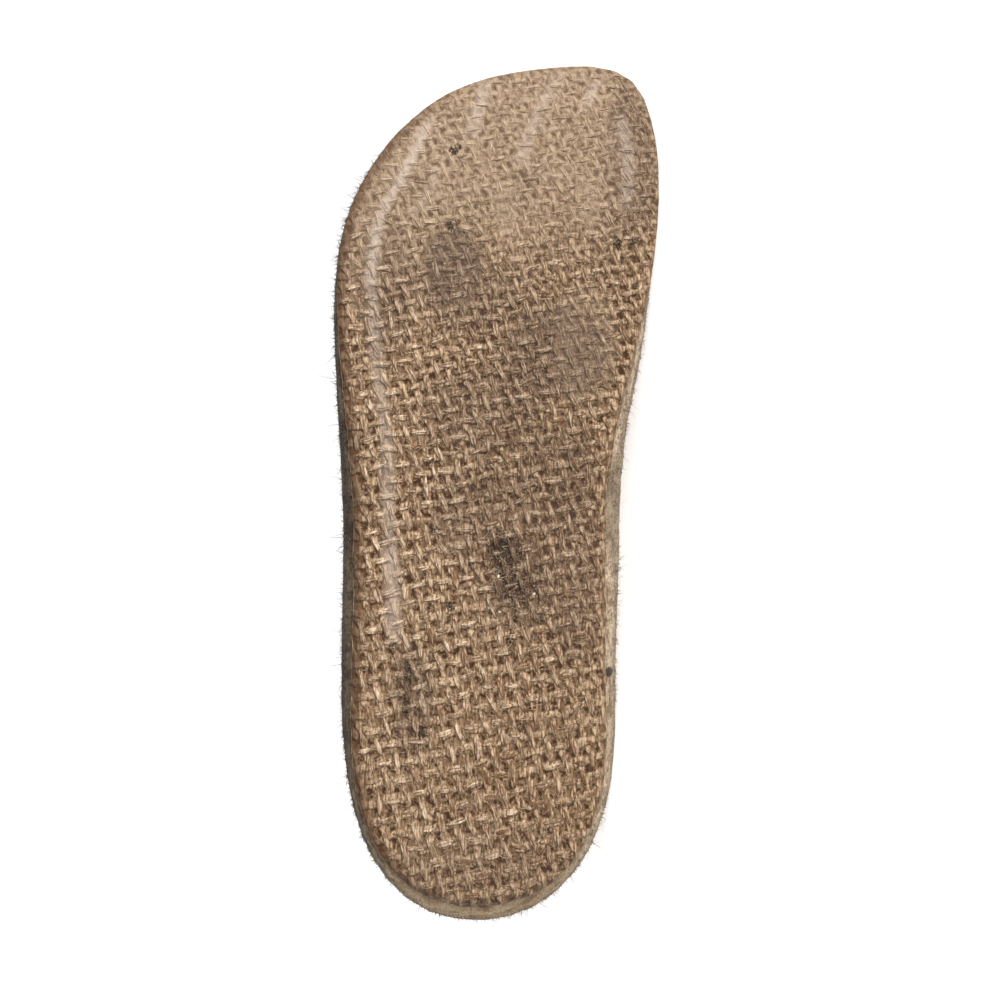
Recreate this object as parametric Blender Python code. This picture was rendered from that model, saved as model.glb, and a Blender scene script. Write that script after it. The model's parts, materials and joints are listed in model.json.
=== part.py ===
"""A felt clog for the right foot, lying on its inner side with the tread facing -Y.

The shoe is drawn standing and in millimetres: "along" runs from heel to toe (+X), "across" runs
towards the inner side of the foot (+Y) and heights rise from the ground (+Z). The four pieces are
then turned together onto the shoe's inner side, where its sole edge and its upper meet the floor.
"""

import math

import bmesh
import bpy
import numpy as np
from mathutils import Matrix, Vector

MM = 0.001
FIT_GAP = 0.3

# Layers of the sole
OUTSOLE_THICK = 3.0
OUTSOLE_EDGE_ROUND = 1.4
FLARE_START = 2.4
FLARE_END = 5.0
FLARE_CURVE = 1.15
INSOLE_HEEL_CUP = 3.0
INSOLE_CUP_END = 90.0
INSOLE_ARCH_SUPPORT = 2.5
INSOLE_ARCH_PLACE = 110.0
INSOLE_ARCH_REACH = 60.0
INSOLE_EDGE_SLOPE = 1.6

# Shape of the tread from the side
ARCH_START = 97.0
ARCH_END = 148.0
ARCH_LIFT = 2.2
ARCH_TILT = 0.3
TOE_SPRING_START = 205.0
TOE_SPRING_END = 255.0
TOE_SPRING = 7.5
HALF_WIDTH = 40.0

# The upper's felt
UPPER_WALL = 3.5
UPPER_SETBACK = 1.4
SETBACK_LOST_TO_FLARE = 0.5
SHOULDER_FULLNESS = 3.2
CROWN_FULLNESS = 2.1
THROAT = 120.0
THROAT_CROWDING = 2.1

# Grams in a cubic centimetre
LATEX_DENSITY = 1.2
FELT_DENSITY = 0.3

# How finely the pieces are faceted
CURVE_STEPS = 60
HEEL_FAN_STEPS = 16
SOLE_STATIONS = 18
MOUTH_STATIONS = 13
VAMP_STATIONS = 11
TOE_FAN_STEPS = 28
UPPER_ROWS = 14
RING_SHARES = (0.0, 0.4, 0.75, 1.0)
FOOTBED_SHARES = (0.0, 0.3, 0.6, 0.85, 1.0)
FACING_INNER_SIDE = 0.7

# Outline of the tread, from the heel along the outer side to the toe and back along the inner side
# along, across, how far the felt edge above stands out
TREAD_OUTLINE = (
    (4.6, 1.0, 6.3),
    (10.6, -20.3, 4.3),
    (31.0, -34.1, 2.3),
    (62.0, -37.6, 2.8),
    (122.0, -36.9, 3.1),
    (150.0, -39.3, 2.2),
    (178.0, -41.7, 1.0),
    (204.0, -39.6, 0.4),
    (228.4, -27.6, 0.2),
    (245.4, -9.2, 0.2),
    (255.0, 21.8, 0.2),
    (251.9, 47.0, 0.2),
    (237.2, 53.0, 0.2),
    (213.0, 54.1, 0.6),
    (188.0, 51.3, 0.9),
    (162.0, 44.8, 3.6),
    (149.0, 41.6, 4.0),
    (135.0, 38.9, 5.3),
    (112.0, 37.6, 5.6),
    (68.0, 37.6, 4.2),
    (31.0, 35.0, 3.4),
    (10.2, 21.4, 4.4),
)

# The last and the felt under it, a row for each section
# along, midsole thickness, insole thickness, ridge height, ridge across, collar height, belly of the side
LAST_SECTIONS = (
    (-5.0, 5.4, 8.0, 76.0, 1.0, 26.0, 0.4),
    (40.0, 5.4, 8.0, 76.0, 1.0, 28.5, 0.4),
    (80.0, 5.4, 7.6, 75.0, 1.5, 39.0, 0.8),
    (103.0, 5.3, 7.0, 72.5, 2.2, 53.0, 1.4),
    (120.0, 5.2, 6.4, 69.5, 3.0, 69.5, 2.0),
    (150.0, 5.0, 5.4, 63.0, 5.5, 69.5, 2.6),
    (180.0, 5.0, 5.0, 56.0, 8.5, 69.5, 3.6),
    (206.0, 5.0, 4.8, 50.0, 11.0, 69.5, 3.6),
    (232.0, 5.0, 4.6, 44.0, 12.0, 69.5, 3.0),
    (257.0, 5.0, 4.5, 37.0, 12.0, 69.5, 2.4),
)
FELT, FOOTBED, RIDGE, RIDGE_ACROSS, COLLAR, BELLY = 1, 2, 3, 4, 5, 6
SPINE_BACK = 40.0
SPINE_FRONT = 206.0

# Colours and roughness of the four materials
JUTE_LATEX = ((0.29, 0.20, 0.135), 0.72)
PRESSED_FELT = ((0.52, 0.42, 0.31), 0.95)
UPPER_FELT = ((0.33, 0.27, 0.2), 0.95)
FOOTBED_FELT = ((0.42, 0.35, 0.27), 0.95)


def clear_scene():
    for thing in list(bpy.data.objects):
        bpy.data.objects.remove(thing, do_unlink=True)


def ease(t, start, end, start_pull, end_pull):
    """Cubic from start to end as t goes from 0 to 1, leaving and arriving with the given pulls."""
    keep = 2 * t**3 - 3 * t**2 + 1
    return keep * start + (1 - keep) * end + (t**3 - 2 * t**2 + t) * start_pull + (t**3 - t**2) * end_pull


def section_slope(column, row):
    before = LAST_SECTIONS[max(row - 1, 0)]
    after = LAST_SECTIONS[min(row + 1, len(LAST_SECTIONS) - 1)]
    return (after[column] - before[column]) / (after[0] - before[0])


def section(column, along):
    """One column of the last's table at a place along the shoe, on a smooth curve."""
    rows = LAST_SECTIONS
    along = min(max(along, rows[0][0]), rows[-1][0])
    row = 0
    while row < len(rows) - 2 and along > rows[row + 1][0]:
        row += 1
    span = rows[row + 1][0] - rows[row][0]
    pulls = (span * section_slope(column, row), span * section_slope(column, row + 1))
    return ease((along - rows[row][0]) / span, rows[row][column], rows[row + 1][column], *pulls)


def tread_height(along, across):
    """Height of the tread above the ground: flat under heel and ball, lifted at arch and toe."""
    height = 0.0
    if ARCH_START < along < ARCH_END:
        part = (along - ARCH_START) / (ARCH_END - ARCH_START)
        inner_side = 1 - ARCH_TILT + ARCH_TILT * across / HALF_WIDTH
        height += ARCH_LIFT * inner_side * math.sin(math.pi * part) ** 2
    if along > TOE_SPRING_START:
        part = (along - TOE_SPRING_START) / (TOE_SPRING_END - TOE_SPRING_START)
        height += TOE_SPRING * part**2
    return height


def upper_foot(along):
    """Height above the tread at which the upper and the insole stand on the midsole."""
    return OUTSOLE_THICK + FIT_GAP + section(FELT, along) + FIT_GAP


def flared(flare, height):
    """How far the sole's side stands out from the tread at a height above it."""
    rise = min(max((height - FLARE_START) / (FLARE_END - FLARE_START), 0.0), 1.0)
    return flare * (1 - (1 - rise) ** FLARE_CURVE)


def closed_spline(rows, steps):
    """Points on a smooth closed curve through the rows, each with all of the rows' columns."""
    points = np.array(rows)
    count = len(points)
    following = np.roll(points, -1, axis=0)
    chords = np.linalg.norm((following - points)[:, :2], axis=1)
    before = np.roll(chords, 1)
    matrix = np.zeros((count, count))
    for i in range(count):
        matrix[i, i - 1] = chords[i]
        matrix[i, i] = 2 * (before[i] + chords[i])
        matrix[i, (i + 1) % count] = before[i]
    rise = (following - points) / chords[:, None]
    right = 3 * (chords[:, None] * np.roll(rise, 1, axis=0) + before[:, None] * rise)
    tangents = np.linalg.solve(matrix, right)
    curve = []
    for i in range(count):
        j = (i + 1) % count
        for t in np.linspace(0.0, 1.0, steps, endpoint=False):
            curve.append(ease(t, points[i], points[j], chords[i] * tangents[i], chords[i] * tangents[j]))
    return np.array(curve)


class Plan:
    """A closed outline round the last's spine, read at a station or at an angle from a spine end."""

    def __init__(self, curve):
        toe = int(np.argmax(curve[:, 0]))
        heel = int(np.argmin(curve[:, 0]))
        curve = np.roll(curve, -heel, axis=0)
        toe = (toe - heel) % len(curve)
        self.curve = curve
        self.outer = curve[: toe + 1]
        self.inner = curve[toe:][::-1]

    @staticmethod
    def spine(along):
        along = min(max(along, SPINE_BACK), SPINE_FRONT)
        return Vector((along, section(RIDGE_ACROSS, along)))

    def side(self, along, inner):
        """The outline's row on the outer or the inner side at a station."""
        half = self.inner if inner else self.outer
        return [along] + [np.interp(along, half[:, 0], half[:, k]) for k in range(1, half.shape[1])]

    def seen(self, centre, angle):
        """The outline's row that is seen from a centre at an angle from +X towards +Y."""
        offsets = self.curve[:, :2] - np.array(centre)
        angles = np.degrees(np.arctan2(offsets[:, 1], offsets[:, 0]))
        angles = (angles - angle + 180.0) % 360.0 - 180.0
        order = np.argsort(angles)
        return [np.interp(0.0, angles[order], self.curve[order, k]) for k in range(self.curve.shape[1])]


class Column:
    """One slice of the sole, from the last's spine out to a point of the tread's outline."""

    def __init__(self, row, along):
        self.edge = Vector(row[:2])
        self.flare = row[2]
        self.spine = Plan.spine(along)
        self.outward = Vector((1.0, 0.0))

    def plan(self, share, out):
        """A share of the way from the spine to the outline, which is first moved outwards."""
        return self.spine.lerp(self.edge + self.outward * out, share)

    def setback(self):
        """How far the upper stands back from the sole's edge. Where the edge flares, not at all."""
        return max(0.0, UPPER_SETBACK - SETBACK_LOST_TO_FLARE * self.flare)

    def upper_out(self, height):
        """How far the upper's wall stands out from the tread at a height above the tread."""
        return flared(self.flare, height) - self.setback()


def sole_stations():
    return np.linspace(SPINE_BACK, SPINE_FRONT, SOLE_STATIONS + 1)


def upper_stations():
    """Stations that crowd towards the throat, where the top line turns across the foot."""
    depths = [(k / MOUTH_STATIONS) ** THROAT_CROWDING for k in range(MOUTH_STATIONS, 0, -1)]
    beside_mouth = [THROAT - depth * (THROAT - SPINE_BACK) for depth in depths]
    return beside_mouth + list(np.linspace(THROAT, SPINE_FRONT, VAMP_STATIONS + 1))


def make_columns(tread, stations):
    """Columns in order: outer side from heel to toe, round the toe, inner side, round the heel."""
    toe_angles = np.linspace(-90.0, 90.0, TOE_FAN_STEPS + 1)[1:-1]
    heel_angles = np.linspace(90.0, 270.0, HEEL_FAN_STEPS + 1)[1:-1]
    columns = [Column(tread.side(along, False), along) for along in stations]
    columns += [Column(tread.seen(Plan.spine(SPINE_FRONT), angle), SPINE_FRONT) for angle in toe_angles]
    columns += [Column(tread.side(along, True), along) for along in stations[::-1]]
    columns += [Column(tread.seen(Plan.spine(SPINE_BACK), angle), SPINE_BACK) for angle in heel_angles]
    for i, column in enumerate(columns):
        tangent = columns[(i + 1) % len(columns)].edge - columns[i - 1].edge
        column.outward = Vector((tangent.y, -tangent.x)).normalized()
    return columns


def sole_point(column, share, inset, height):
    """Point of a sole layer: its height is measured up from the tread."""
    place = column.plan(share, flared(column.flare, height) - inset)
    return Vector((place.x, place.y, tread_height(place.x, place.y) + height))


def make_material(name, finish):
    colour, roughness = finish
    material = bpy.data.materials.new(name)
    material.use_nodes = True
    shader = material.node_tree.nodes["Principled BSDF"]
    shader.inputs["Base Color"].default_value = (*colour, 1.0)
    shader.inputs["Roughness"].default_value = roughness
    shader.inputs["Metallic"].default_value = 0.0
    return material


def mesh_object(name, rings, material):
    """Mesh of the faces between rings of points, where points that coincide are one vertex."""
    corners = []
    index_of = {}

    def index(point):
        key = tuple(round(c, 3) for c in point)
        if key not in index_of:
            index_of[key] = len(corners)
            corners.append(point * MM)
        return index_of[key]

    faces = []
    for lower, upper in zip(rings, rings[1:]):
        for i in range(len(lower)):
            j = (i + 1) % len(lower)
            face = dict.fromkeys(index(p) for p in (lower[i], lower[j], upper[j], upper[i]))
            if len(face) > 2:
                faces.append(list(face))
    mesh = bpy.data.meshes.new(name)
    mesh.from_pydata(corners, [], faces)
    mesh.shade_smooth()
    mesh.materials.append(material)
    thing = bpy.data.objects.new(name, mesh)
    bpy.context.collection.objects.link(thing)
    return thing


def make_outsole(columns):
    """Sheet of jute and latex with a rolled lower edge."""
    roll = OUTSOLE_EDGE_ROUND
    top = OUTSOLE_THICK
    levels = [(share, share * roll, 0.0) for share in RING_SHARES]
    levels += [(1.0, 0.3 * roll, 0.3 * roll), (1.0, 0.0, roll)]
    levels += [(share, 0.0, top) for share in RING_SHARES[::-1]]
    rings = [[sole_point(c, *level) for c in columns] for level in levels]
    return mesh_object("outsole", rings, make_material("jute_latex", JUTE_LATEX))


def make_midsole(columns):
    """Pressed felt layer whose side flares outwards round the waist and the heel."""
    bottom = OUTSOLE_THICK + FIT_GAP

    def level(share, rise):
        ring = []
        for column in columns:
            felt = section(FELT, column.plan(share, 0.0).x)
            ring.append(sole_point(column, share, 0.0, bottom + rise * felt))
        return ring

    rings = [level(share, 0.0) for share in RING_SHARES]
    rings += [level(1.0, rise) for rise in (0.35, 0.7)]
    rings += [level(share, 1.0) for share in RING_SHARES[::-1]]
    return mesh_object("midsole", rings, make_material("pressed_felt", PRESSED_FELT))


def footbed_rise(place, share):
    """How far the footbed's edge rises above its middle, in the heel cup and at the inner arch."""
    cup = INSOLE_HEEL_CUP * max(0.0, 1 - place.x / INSOLE_CUP_END)
    arch = max(0.0, 1 - abs(place.x - INSOLE_ARCH_PLACE) / INSOLE_ARCH_REACH)
    inner_side = max(0.0, place.y / HALF_WIDTH)
    return share**3 * (cup + INSOLE_ARCH_SUPPORT * arch * inner_side)


def make_insole(columns):
    """Felt footbed inside the upper, with a soft heel cup and a raised arch."""

    def level(share, slope, rise, shaped):
        ring = []
        for column in columns:
            inset = UPPER_WALL + FIT_GAP + slope * INSOLE_EDGE_SLOPE
            place = column.plan(share, column.upper_out(upper_foot(column.edge.x)) - inset)
            height = tread_height(place.x, place.y) + upper_foot(place.x) + rise * section(FOOTBED, place.x)
            height += shaped * footbed_rise(place, share)
            ring.append(Vector((place.x, place.y, height)))
        return ring

    rings = [level(share, 0.4, 0.0, 0.0) for share in RING_SHARES]
    rings.append(level(1.0, 0.6, 0.7, 0.0))
    rings += [level(share, 1.0, 1.0, 1.0) for share in FOOTBED_SHARES[::-1]]
    return mesh_object("insole", rings, make_material("footbed_felt", FOOTBED_FELT))


def foot_height(column):
    """Height above the ground at which the upper's wall starts."""
    return upper_foot(column.edge.x) + tread_height(column.edge.x, column.edge.y)


def collar_turn(column):
    """Turn at which a column's wall meets the top line. In front of the throat it meets the ridge."""
    along = column.edge.x
    if along > THROAT:
        return math.pi / 2
    foot = foot_height(column)
    lift = (section(COLLAR, along) - foot) / (section(RIDGE, along) - foot)
    return math.asin(min(lift, 1.0) ** (CROWN_FULLNESS / 2))


def upper_point(column, turn):
    """Outer face of the upper: turn runs from 0 at the sole to a right angle on the ridge."""
    share = math.cos(turn) ** (2 / SHOULDER_FULLNESS)
    lift = math.sin(turn) ** (2 / CROWN_FULLNESS)
    foot = foot_height(column)
    rise = lift * (section(RIDGE, column.plan(share, 0.0).x) - foot)
    place = column.plan(share, column.upper_out(upper_foot(column.edge.x) + rise))
    place += column.outward * section(BELLY, place.x) * math.sin(2 * turn)
    return Vector((place.x, place.y, foot + rise))


def make_upper(columns):
    """One felt wall from the sole up to the collar, closed over the toe and open underneath."""
    ends = [collar_turn(c) for c in columns]
    rings = []
    for row in range(UPPER_ROWS + 1):
        share = row / UPPER_ROWS
        rings.append([upper_point(c, end * share) for c, end in zip(columns, ends)])
    upper = mesh_object("upper", rings, make_material("upper_felt", UPPER_FELT))
    wall = upper.modifiers.new("felt_wall", "SOLIDIFY")
    wall.thickness = UPPER_WALL * MM
    wall.offset = -1.0
    return upper


def finished_mesh(thing):
    body = bmesh.new()
    body.from_object(thing, bpy.context.evaluated_depsgraph_get())
    return body


def balance_point(pieces):
    """Centre of the pieces' mass, about which the lying shoe balances."""
    mass = 0.0
    moment = Vector()
    for piece in pieces:
        density = LATEX_DENSITY if piece.name == "outsole" else FELT_DENSITY
        body = finished_mesh(piece)
        bmesh.ops.triangulate(body, faces=body.faces)
        for face in body.faces:
            a, b, c = [v.co for v in face.verts]
            part = density * a.dot(b.cross(c)) / 6
            mass += part
            moment += part * (a + b + c) / 4
        body.free()
    return moment / mass


def resting_side(pieces):
    """Outward direction of the inner side's face on which the balance point lies lowest."""
    hull = bmesh.new()
    for piece in pieces:
        body = finished_mesh(piece)
        for vertex in body.verts:
            hull.verts.new(vertex.co)
        body.free()
    bmesh.ops.convex_hull(hull, input=hull.verts)
    bmesh.ops.triangulate(hull, faces=hull.faces)
    bmesh.ops.recalc_face_normals(hull, faces=hull.faces)
    centre = balance_point(pieces)
    found = []
    for face in hull.faces:
        corners = [v.co for v in face.verts]
        height = (corners[0] - centre).dot(face.normal)
        foot = centre + face.normal * height
        turns = [(corners[k - 2] - corners[k]).cross(foot - corners[k]) for k in range(3)]
        inside = all(turn.dot(face.normal) >= 0 for turn in turns)
        if inside and face.normal.y > FACING_INNER_SIDE:
            found.append((height, tuple(face.normal)))
    hull.free()
    return Vector(min(found)[1])


def lay_on_side(pieces):
    """Turn the pieces onto the inner side and set them on the floor, centred on the origin."""
    up = -resting_side(pieces)
    toe = Vector((1.0, 0.0, 0.0))
    toe = (toe - up * toe.dot(up)).normalized()
    turn = Matrix((toe, up.cross(toe), up))
    places = []
    for piece in pieces:
        body = finished_mesh(piece)
        places += [turn @ v.co for v in body.verts]
        body.free()
    low = [min(p[k] for p in places) for k in range(3)]
    high = [max(p[k] for p in places) for k in range(3)]
    shift = Vector((-(low[0] + high[0]) / 2, -(low[1] + high[1]) / 2, -low[2]))
    lying = bpy.data.objects.new("lying_on_inner_side", None)
    bpy.context.collection.objects.link(lying)
    lying.matrix_world = Matrix.Translation(shift) @ turn.to_4x4()
    for piece in pieces:
        piece.parent = lying


def main():
    clear_scene()
    tread = Plan(closed_spline(TREAD_OUTLINE, CURVE_STEPS))
    columns = make_columns(tread, sole_stations())
    pieces = [make_outsole(columns), make_midsole(columns), make_insole(columns)]
    pieces.append(make_upper(make_columns(tread, upper_stations())))
    bpy.context.view_layer.update()
    lay_on_side(pieces)


main()
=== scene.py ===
"""Looks of a felt clog that lies on its inner side, seen from below: jute and latex sole, felt above it.

Sizes are in millimetres in the shoe's own frame: along from heel to toe, across to the inner side, up from
the tread. The two flat spots of the tread tie that frame to the model.
"""

import json
import math

import bmesh
import bpy
import numpy as np
from mathutils import Matrix, Vector, noise
from mathutils.bvhtree import BVHTree
from mathutils.kdtree import KDTree


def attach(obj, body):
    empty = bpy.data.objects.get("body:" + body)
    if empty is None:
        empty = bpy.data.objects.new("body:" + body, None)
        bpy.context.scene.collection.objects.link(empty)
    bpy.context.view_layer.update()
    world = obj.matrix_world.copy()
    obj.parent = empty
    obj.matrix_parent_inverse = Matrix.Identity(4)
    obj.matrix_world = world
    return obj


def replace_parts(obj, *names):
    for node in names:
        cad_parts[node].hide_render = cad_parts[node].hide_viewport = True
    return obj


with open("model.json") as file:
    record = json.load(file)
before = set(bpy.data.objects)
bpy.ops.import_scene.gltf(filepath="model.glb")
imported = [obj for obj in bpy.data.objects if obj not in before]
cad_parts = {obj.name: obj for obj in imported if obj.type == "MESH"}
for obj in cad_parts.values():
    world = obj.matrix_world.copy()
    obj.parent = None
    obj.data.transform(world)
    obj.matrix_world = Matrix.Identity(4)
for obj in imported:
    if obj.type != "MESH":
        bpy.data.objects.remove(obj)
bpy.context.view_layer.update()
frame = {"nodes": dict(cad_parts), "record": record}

# One millimetre in metres, and the two flat spots of the tread, along and across.
MM = 0.001
HEEL_SPOT = (50.0, 0.0)
BALL_SPOT = (185.0, 3.0)

# The camera looks at the tread a little from the outer side of the foot, with the toe upwards.
EYE = (124.5, -36.9, -400.0)
AIM = (124.2, 6.0, 0.0)
SEEN_WIDTH = 295.0
SENSOR_WIDTH = 36.0
NEAREST_SEEN = 10.0

# Light: a softbox beyond the toe, a white wall behind the shoe and a dimmer room before it.
SOFTBOX_PLACE = (2350.0, -60.0, -1900.0)
SOFTBOX_SIZE = 900.0
SOFTBOX_POWER = 108.0
WALL_LIGHT = 1.05
ROOM_LIGHT = 0.37
WALL_EDGE = (-0.25, 0.15)
CEILING_EDGE = (0.6, 0.32)
FLOOR_SIZE = 12000.0
FLOOR_GLOW = 0.72
FLOOR_GREY = 0.86

# Colours as they look on screen, from 0 to 255; a pair is the dark and the light of one material.
LATEX_YARN = ((112, 82, 53), (201, 174, 142))
# Darker latex between the yarns, deepened with painted shade; then painted shade in the openings of the
# cloth.
LOW_LATEX_AND_SHADE = (94, 64, 38)
OPENING_SHADE = (58, 33, 14)
LATEX_PIT = (68, 42, 21)
LATEX_DUST = ((122, 101, 81), (168, 147, 124))
LATEX_ROLLED = (110, 84, 62)
LATEX_EDGE = (84, 57, 38)
CUT_STRAW = ((140, 114, 86), (206, 182, 150))
YARN_STRAW = ((122, 92, 65), (230, 204, 175))
YARN_COAT = (112, 82, 56)
# Yarn that lies low: latex where it dives in, painted shade along its low sides.
YARN_SUNK_AND_SHADE = (84, 53, 29)
YARN_WORN = (185, 165, 142)
LOOSE_JUTE = ((150, 122, 92), (214, 188, 153))
GRIME_GREY = (86, 68, 60)
CRUMB_BROWN = (52, 37, 26)
SOOT = (37, 26, 17)
SCUFF_PALE = (186, 168, 153)
# Painted glints of light on glossy latex.
GLINT_CREAM = (238, 228, 208)
BAND_FELT = ((134, 114, 91), (208, 190, 165))
UPPER_FELT = ((104, 86, 66), (178, 157, 130))
FOOTBED_FELT = ((146, 127, 105), (196, 177, 152))
FELT_FLECK = (92, 76, 58)
# Painted shade for the felt's lower outer side.
PAINTED_SHADE_BROWN = (46, 34, 25)
FELT_SPOT = (48, 40, 32)
HEEL_TAN = (176, 149, 117)
LAYERS = ((104, 84, 62), (212, 192, 164))
RIM_BROWN = (112, 96, 78)
LOOSE_WOOL = ((92, 78, 63), (198, 181, 157))
# Painted shade for the loose wool on the lower outer side.
WOOL_SHADE_BROWN = (58, 45, 35)

# Seeds of the random draws.
SOLE_SEED = 7
FELT_SEED = 19

# Cloth of the sole: the warp runs lengthwise and leans, the weft crosses it and rises.
WARP_SPACING = 4.26
WARP_CLOSING = 0.0028
WARP_LEAN = 0.26
WARP_BEND = 0.00035
WARP_START = 38.3
WARP_SWAY = 0.26
WARP_WAVES = ((0.19, 0.11), (0.43, -0.31))
WARP_TURN = 0.34
WEFT_SPACING = 5.80
WEFT_CLOSING = 0.0098
WEFT_RISE = 0.19
WEFT_SWAY = 0.32
WEFT_WAVES = ((0.07, 0.17), (-0.21, 0.37))
WEFT_TURN = -1.38
CLOTH_ALONG = (-12.0, 262.0)
CLOTH_ACROSS = (-52.0, 62.0)

# Search for the place where two yarns cross: where it starts, its rounds and how far a round moves.
CROSSING_START = 126.0
CROSSING_ROUNDS = 40
CROSSING_STEP_ALONG = 4.2
CROSSING_STEP_ACROSS = 3.8

# Yarn under the latex, in spacings: end of its rounded top, end of its foot, straying; then its height.
YARN_TOP = 0.12
YARN_FOOT = 0.34
YARN_STRAY = 0.7
YARN_LEVEL = 0.55
YARN_WAVE = 0.45
TOP_BLEND = 0.12

# Floats, the yarn that lies on top: reach in spacings, width, strand height, rise, widening at the heel.
WARP_FLOAT = {"reach": 1.50, "width": 0.94, "height": 0.38, "crown": 0.48, "heel": -0.10}
WEFT_FLOAT = {"reach": 1.46, "width": 1.10, "height": 0.40, "crown": 0.52, "heel": 0.22}
FLOAT_LOST = 0.05
FLOAT_MARGIN = 1.5
FLOAT_STRAY = 0.05
FLOAT_TURN = 0.07
FLOAT_HEEL = (12.0, 80.0)
FLOAT_TONE = (0.55, 0.18)
STUB = 0.45
USUAL_SPACING = 4.6
SPACING_POWER = 0.8
FLAT_ENOUGH = -0.90
BELOW_TREAD = -60.0

# How a float's length, width and lift vary: middle, spread, least, most.
LENGTH_VARIES = (1.0, 0.14, 0.55, 1.4)
WIDTH_VARIES = (1.0, 0.17, 0.6, 1.5)
LIFT_VARIES = (0.95, 0.28, 0.2, 1.5)

# How much wear narrows and lowers a float.
TOE_NARROWER = 0.4
TOE_LOWER = 0.5
PATCH_LOWER = 0.85

# The strands that lie side by side in a float: how each lies, strays and sinks, and its shape.
STRANDS = 3
STRAND_SHARE = 0.34
STRAND_SPACING = 0.32
STRAND_LENGTH = (0.78, 1.06)
STRAND_TURN = 0.06
STRAND_SLIP = 0.05
STRAND_STRAY = 0.06
STRAND_BOW = 0.10
STRAND_TONE = 0.14
TONE_LIMITS = (0.0, 0.9)
FLOAT_SINK = 0.26
OUTER_SINK = 0.07
SINK_STRAY = 0.06
BUNDLE_TAPER = 0.55
FLOAT_STEPS = (-1.0, -0.8, -0.45, 0.0, 0.45, 0.8, 1.0)
FLOAT_SWELL = (0.25, 0.66, 0.94, 1.0, 0.94, 0.66, 0.25)
FLOAT_PROFILE = (0.0, 60.0, 120.0, 180.0, 270.0)

# Scuffed streaks on the sole: points (along, across) from the toe down, then width and strength.
STREAKS = (
    (((249.0, 2.2), (239.0, -0.4), (231.0, -2.4)), 4.0, 0.50),
    (((252.0, 25.0), (246.0, 21.0), (237.0, 16.5), (223.0, 12.0)), 3.8, 0.36),
    (((250.5, 36.5), (245.0, 33.5), (241.0, 32.0)), 3.4, 0.52),
    (((239.0, 42.8), (230.0, 44.4), (221.0, 44.6), (210.0, 43.4)), 3.8, 0.42),
    (((236.0, -14.8), (217.5, -23.6), (207.0, -29.2), (197.0, -31.0), (184.0, -31.9)), 3.4, 0.76),
    (((190.0, -31.8), (167.0, -30.4), (141.0, -27.4), (123.0, -26.9), (108.0, -26.3)), 3.8, 0.42),
    (((112.0, -26.4), (93.0, -25.4), (82.0, -25.1)), 4.4, 0.56),
    (((222.0, -11.8), (214.0, -15.6), (206.0, -19.2)), 2.4, 0.30),
)

# A streak's core and fade in widths, its run-in and run-out, and the span that its line is drawn in.
STREAK_CORE = 0.12
STREAK_FADE = 0.80
STREAK_START = (-2.0, 5.0)
STREAK_END = (-3.0, 3.0)
STREAK_SPAN = 120.0

# Dark smears on the sole: along, across, reach along, reach across, strength.
SMEARS = (
    (228.6, -6.4, 1.8, 1.2, 0.72),
    (227.0, -7.9, 1.7, 1.2, 0.72),
    (200.7, 41.0, 2.0, 1.6, 0.65),
    (201.3, 46.6, 1.4, 2.4, 0.60),
    (204.5, -8.3, 1.8, 1.6, 0.60),
    (127.0, 0.7, 1.4, 1.8, 0.55),
    (135.6, -14.8, 2.0, 2.0, 0.50),
    (109.8, 7.8, 3.2, 2.6, 0.92),
    (108.5, 7.5, 7.5, 6.5, 0.56),
    (98.5, 10.5, 6.0, 7.5, 0.50),
    (115.1, -13.3, 1.8, 1.8, 0.50),
    (92.7, -8.6, 1.8, 1.6, 0.66),
    (89.1, 10.7, 1.9, 1.3, 0.58),
    (88.0, 17.7, 1.1, 1.6, 0.65),
    (82.3, 9.1, 4.0, 1.6, 0.50),
    (81.4, -25.4, 3.0, 1.3, 0.58),
    (72.6, -21.3, 5.0, 1.5, 0.62),
    (64.6, -21.5, 4.4, 1.4, 0.66),
    (55.8, -17.2, 3.2, 1.2, 0.70),
    (57.2, 12.7, 2.4, 2.2, 0.40),
)

# Soft grey grime on the sole, in the same order.
GRIME = (
    (191.5, -8.0, 15.0, 10.0, 0.52),
    (184.0, -3.0, 12.0, 16.0, 0.30),
    (168.0, 22.0, 17.0, 18.0, 0.42),
    (150.0, 2.0, 16.0, 20.0, 0.28),
    (118.0, 4.0, 18.0, 20.0, 0.30),
    (100.0, 12.0, 16.0, 12.0, 0.40),
    (66.0, -20.0, 18.0, 7.0, 0.36),
    (134.0, 22.0, 14.0, 12.0, 0.26),
    (112.0, 28.0, 40.0, 10.0, 0.30),
    (12.0, 2.0, 18.0, 34.0, 0.20),
    (228.0, 46.0, 26.0, 9.0, 0.30),
    (186.0, -28.0, 22.0, 10.0, 0.24),
)

# Painted glints of light on glossy latex: along, across, reach along, reach across, strength.
PAINTED_GLINTS = (
    (101.8, 5.6, 0.5, 0.4, 0.75),
    (92.4, 2.7, 0.4, 0.4, 0.70),
    (91.2, 5.9, 0.3, 0.5, 0.65),
    (96.5, 16.2, 0.4, 0.4, 0.65),
    (99.6, 3.8, 0.3, 0.3, 0.50),
)

# Places worn smooth, where the cloth hardly shows: along, across, reach along, reach across, strength.
SMOOTH_PATCHES = (
    (225.8, 13.3, 4.4, 3.4, 0.90),
    (209.5, 7.4, 9.0, 4.4, 0.88),
    (214.0, 32.5, 12.0, 5.2, 0.72),
    (238.0, 8.0, 9.0, 12.0, 0.45),
    (232.0, 24.0, 11.0, 9.0, 0.35),
    (172.0, 31.0, 20.0, 11.0, 0.38),
)

# Where a patch begins to fade and where it ends, in squared shares of its reach.
PATCH_EDGE = (0.35, 1.25)

# Wear of the toe: where it grows, its slant, and where and how far it fades at the inner corner.
TOE_WEAR = (172.0, 222.0)
TOE_SLANT = 0.12
TOE_CORNER = (34.0, 50.0)
TOE_CORNER_FADE = 0.45

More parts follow.
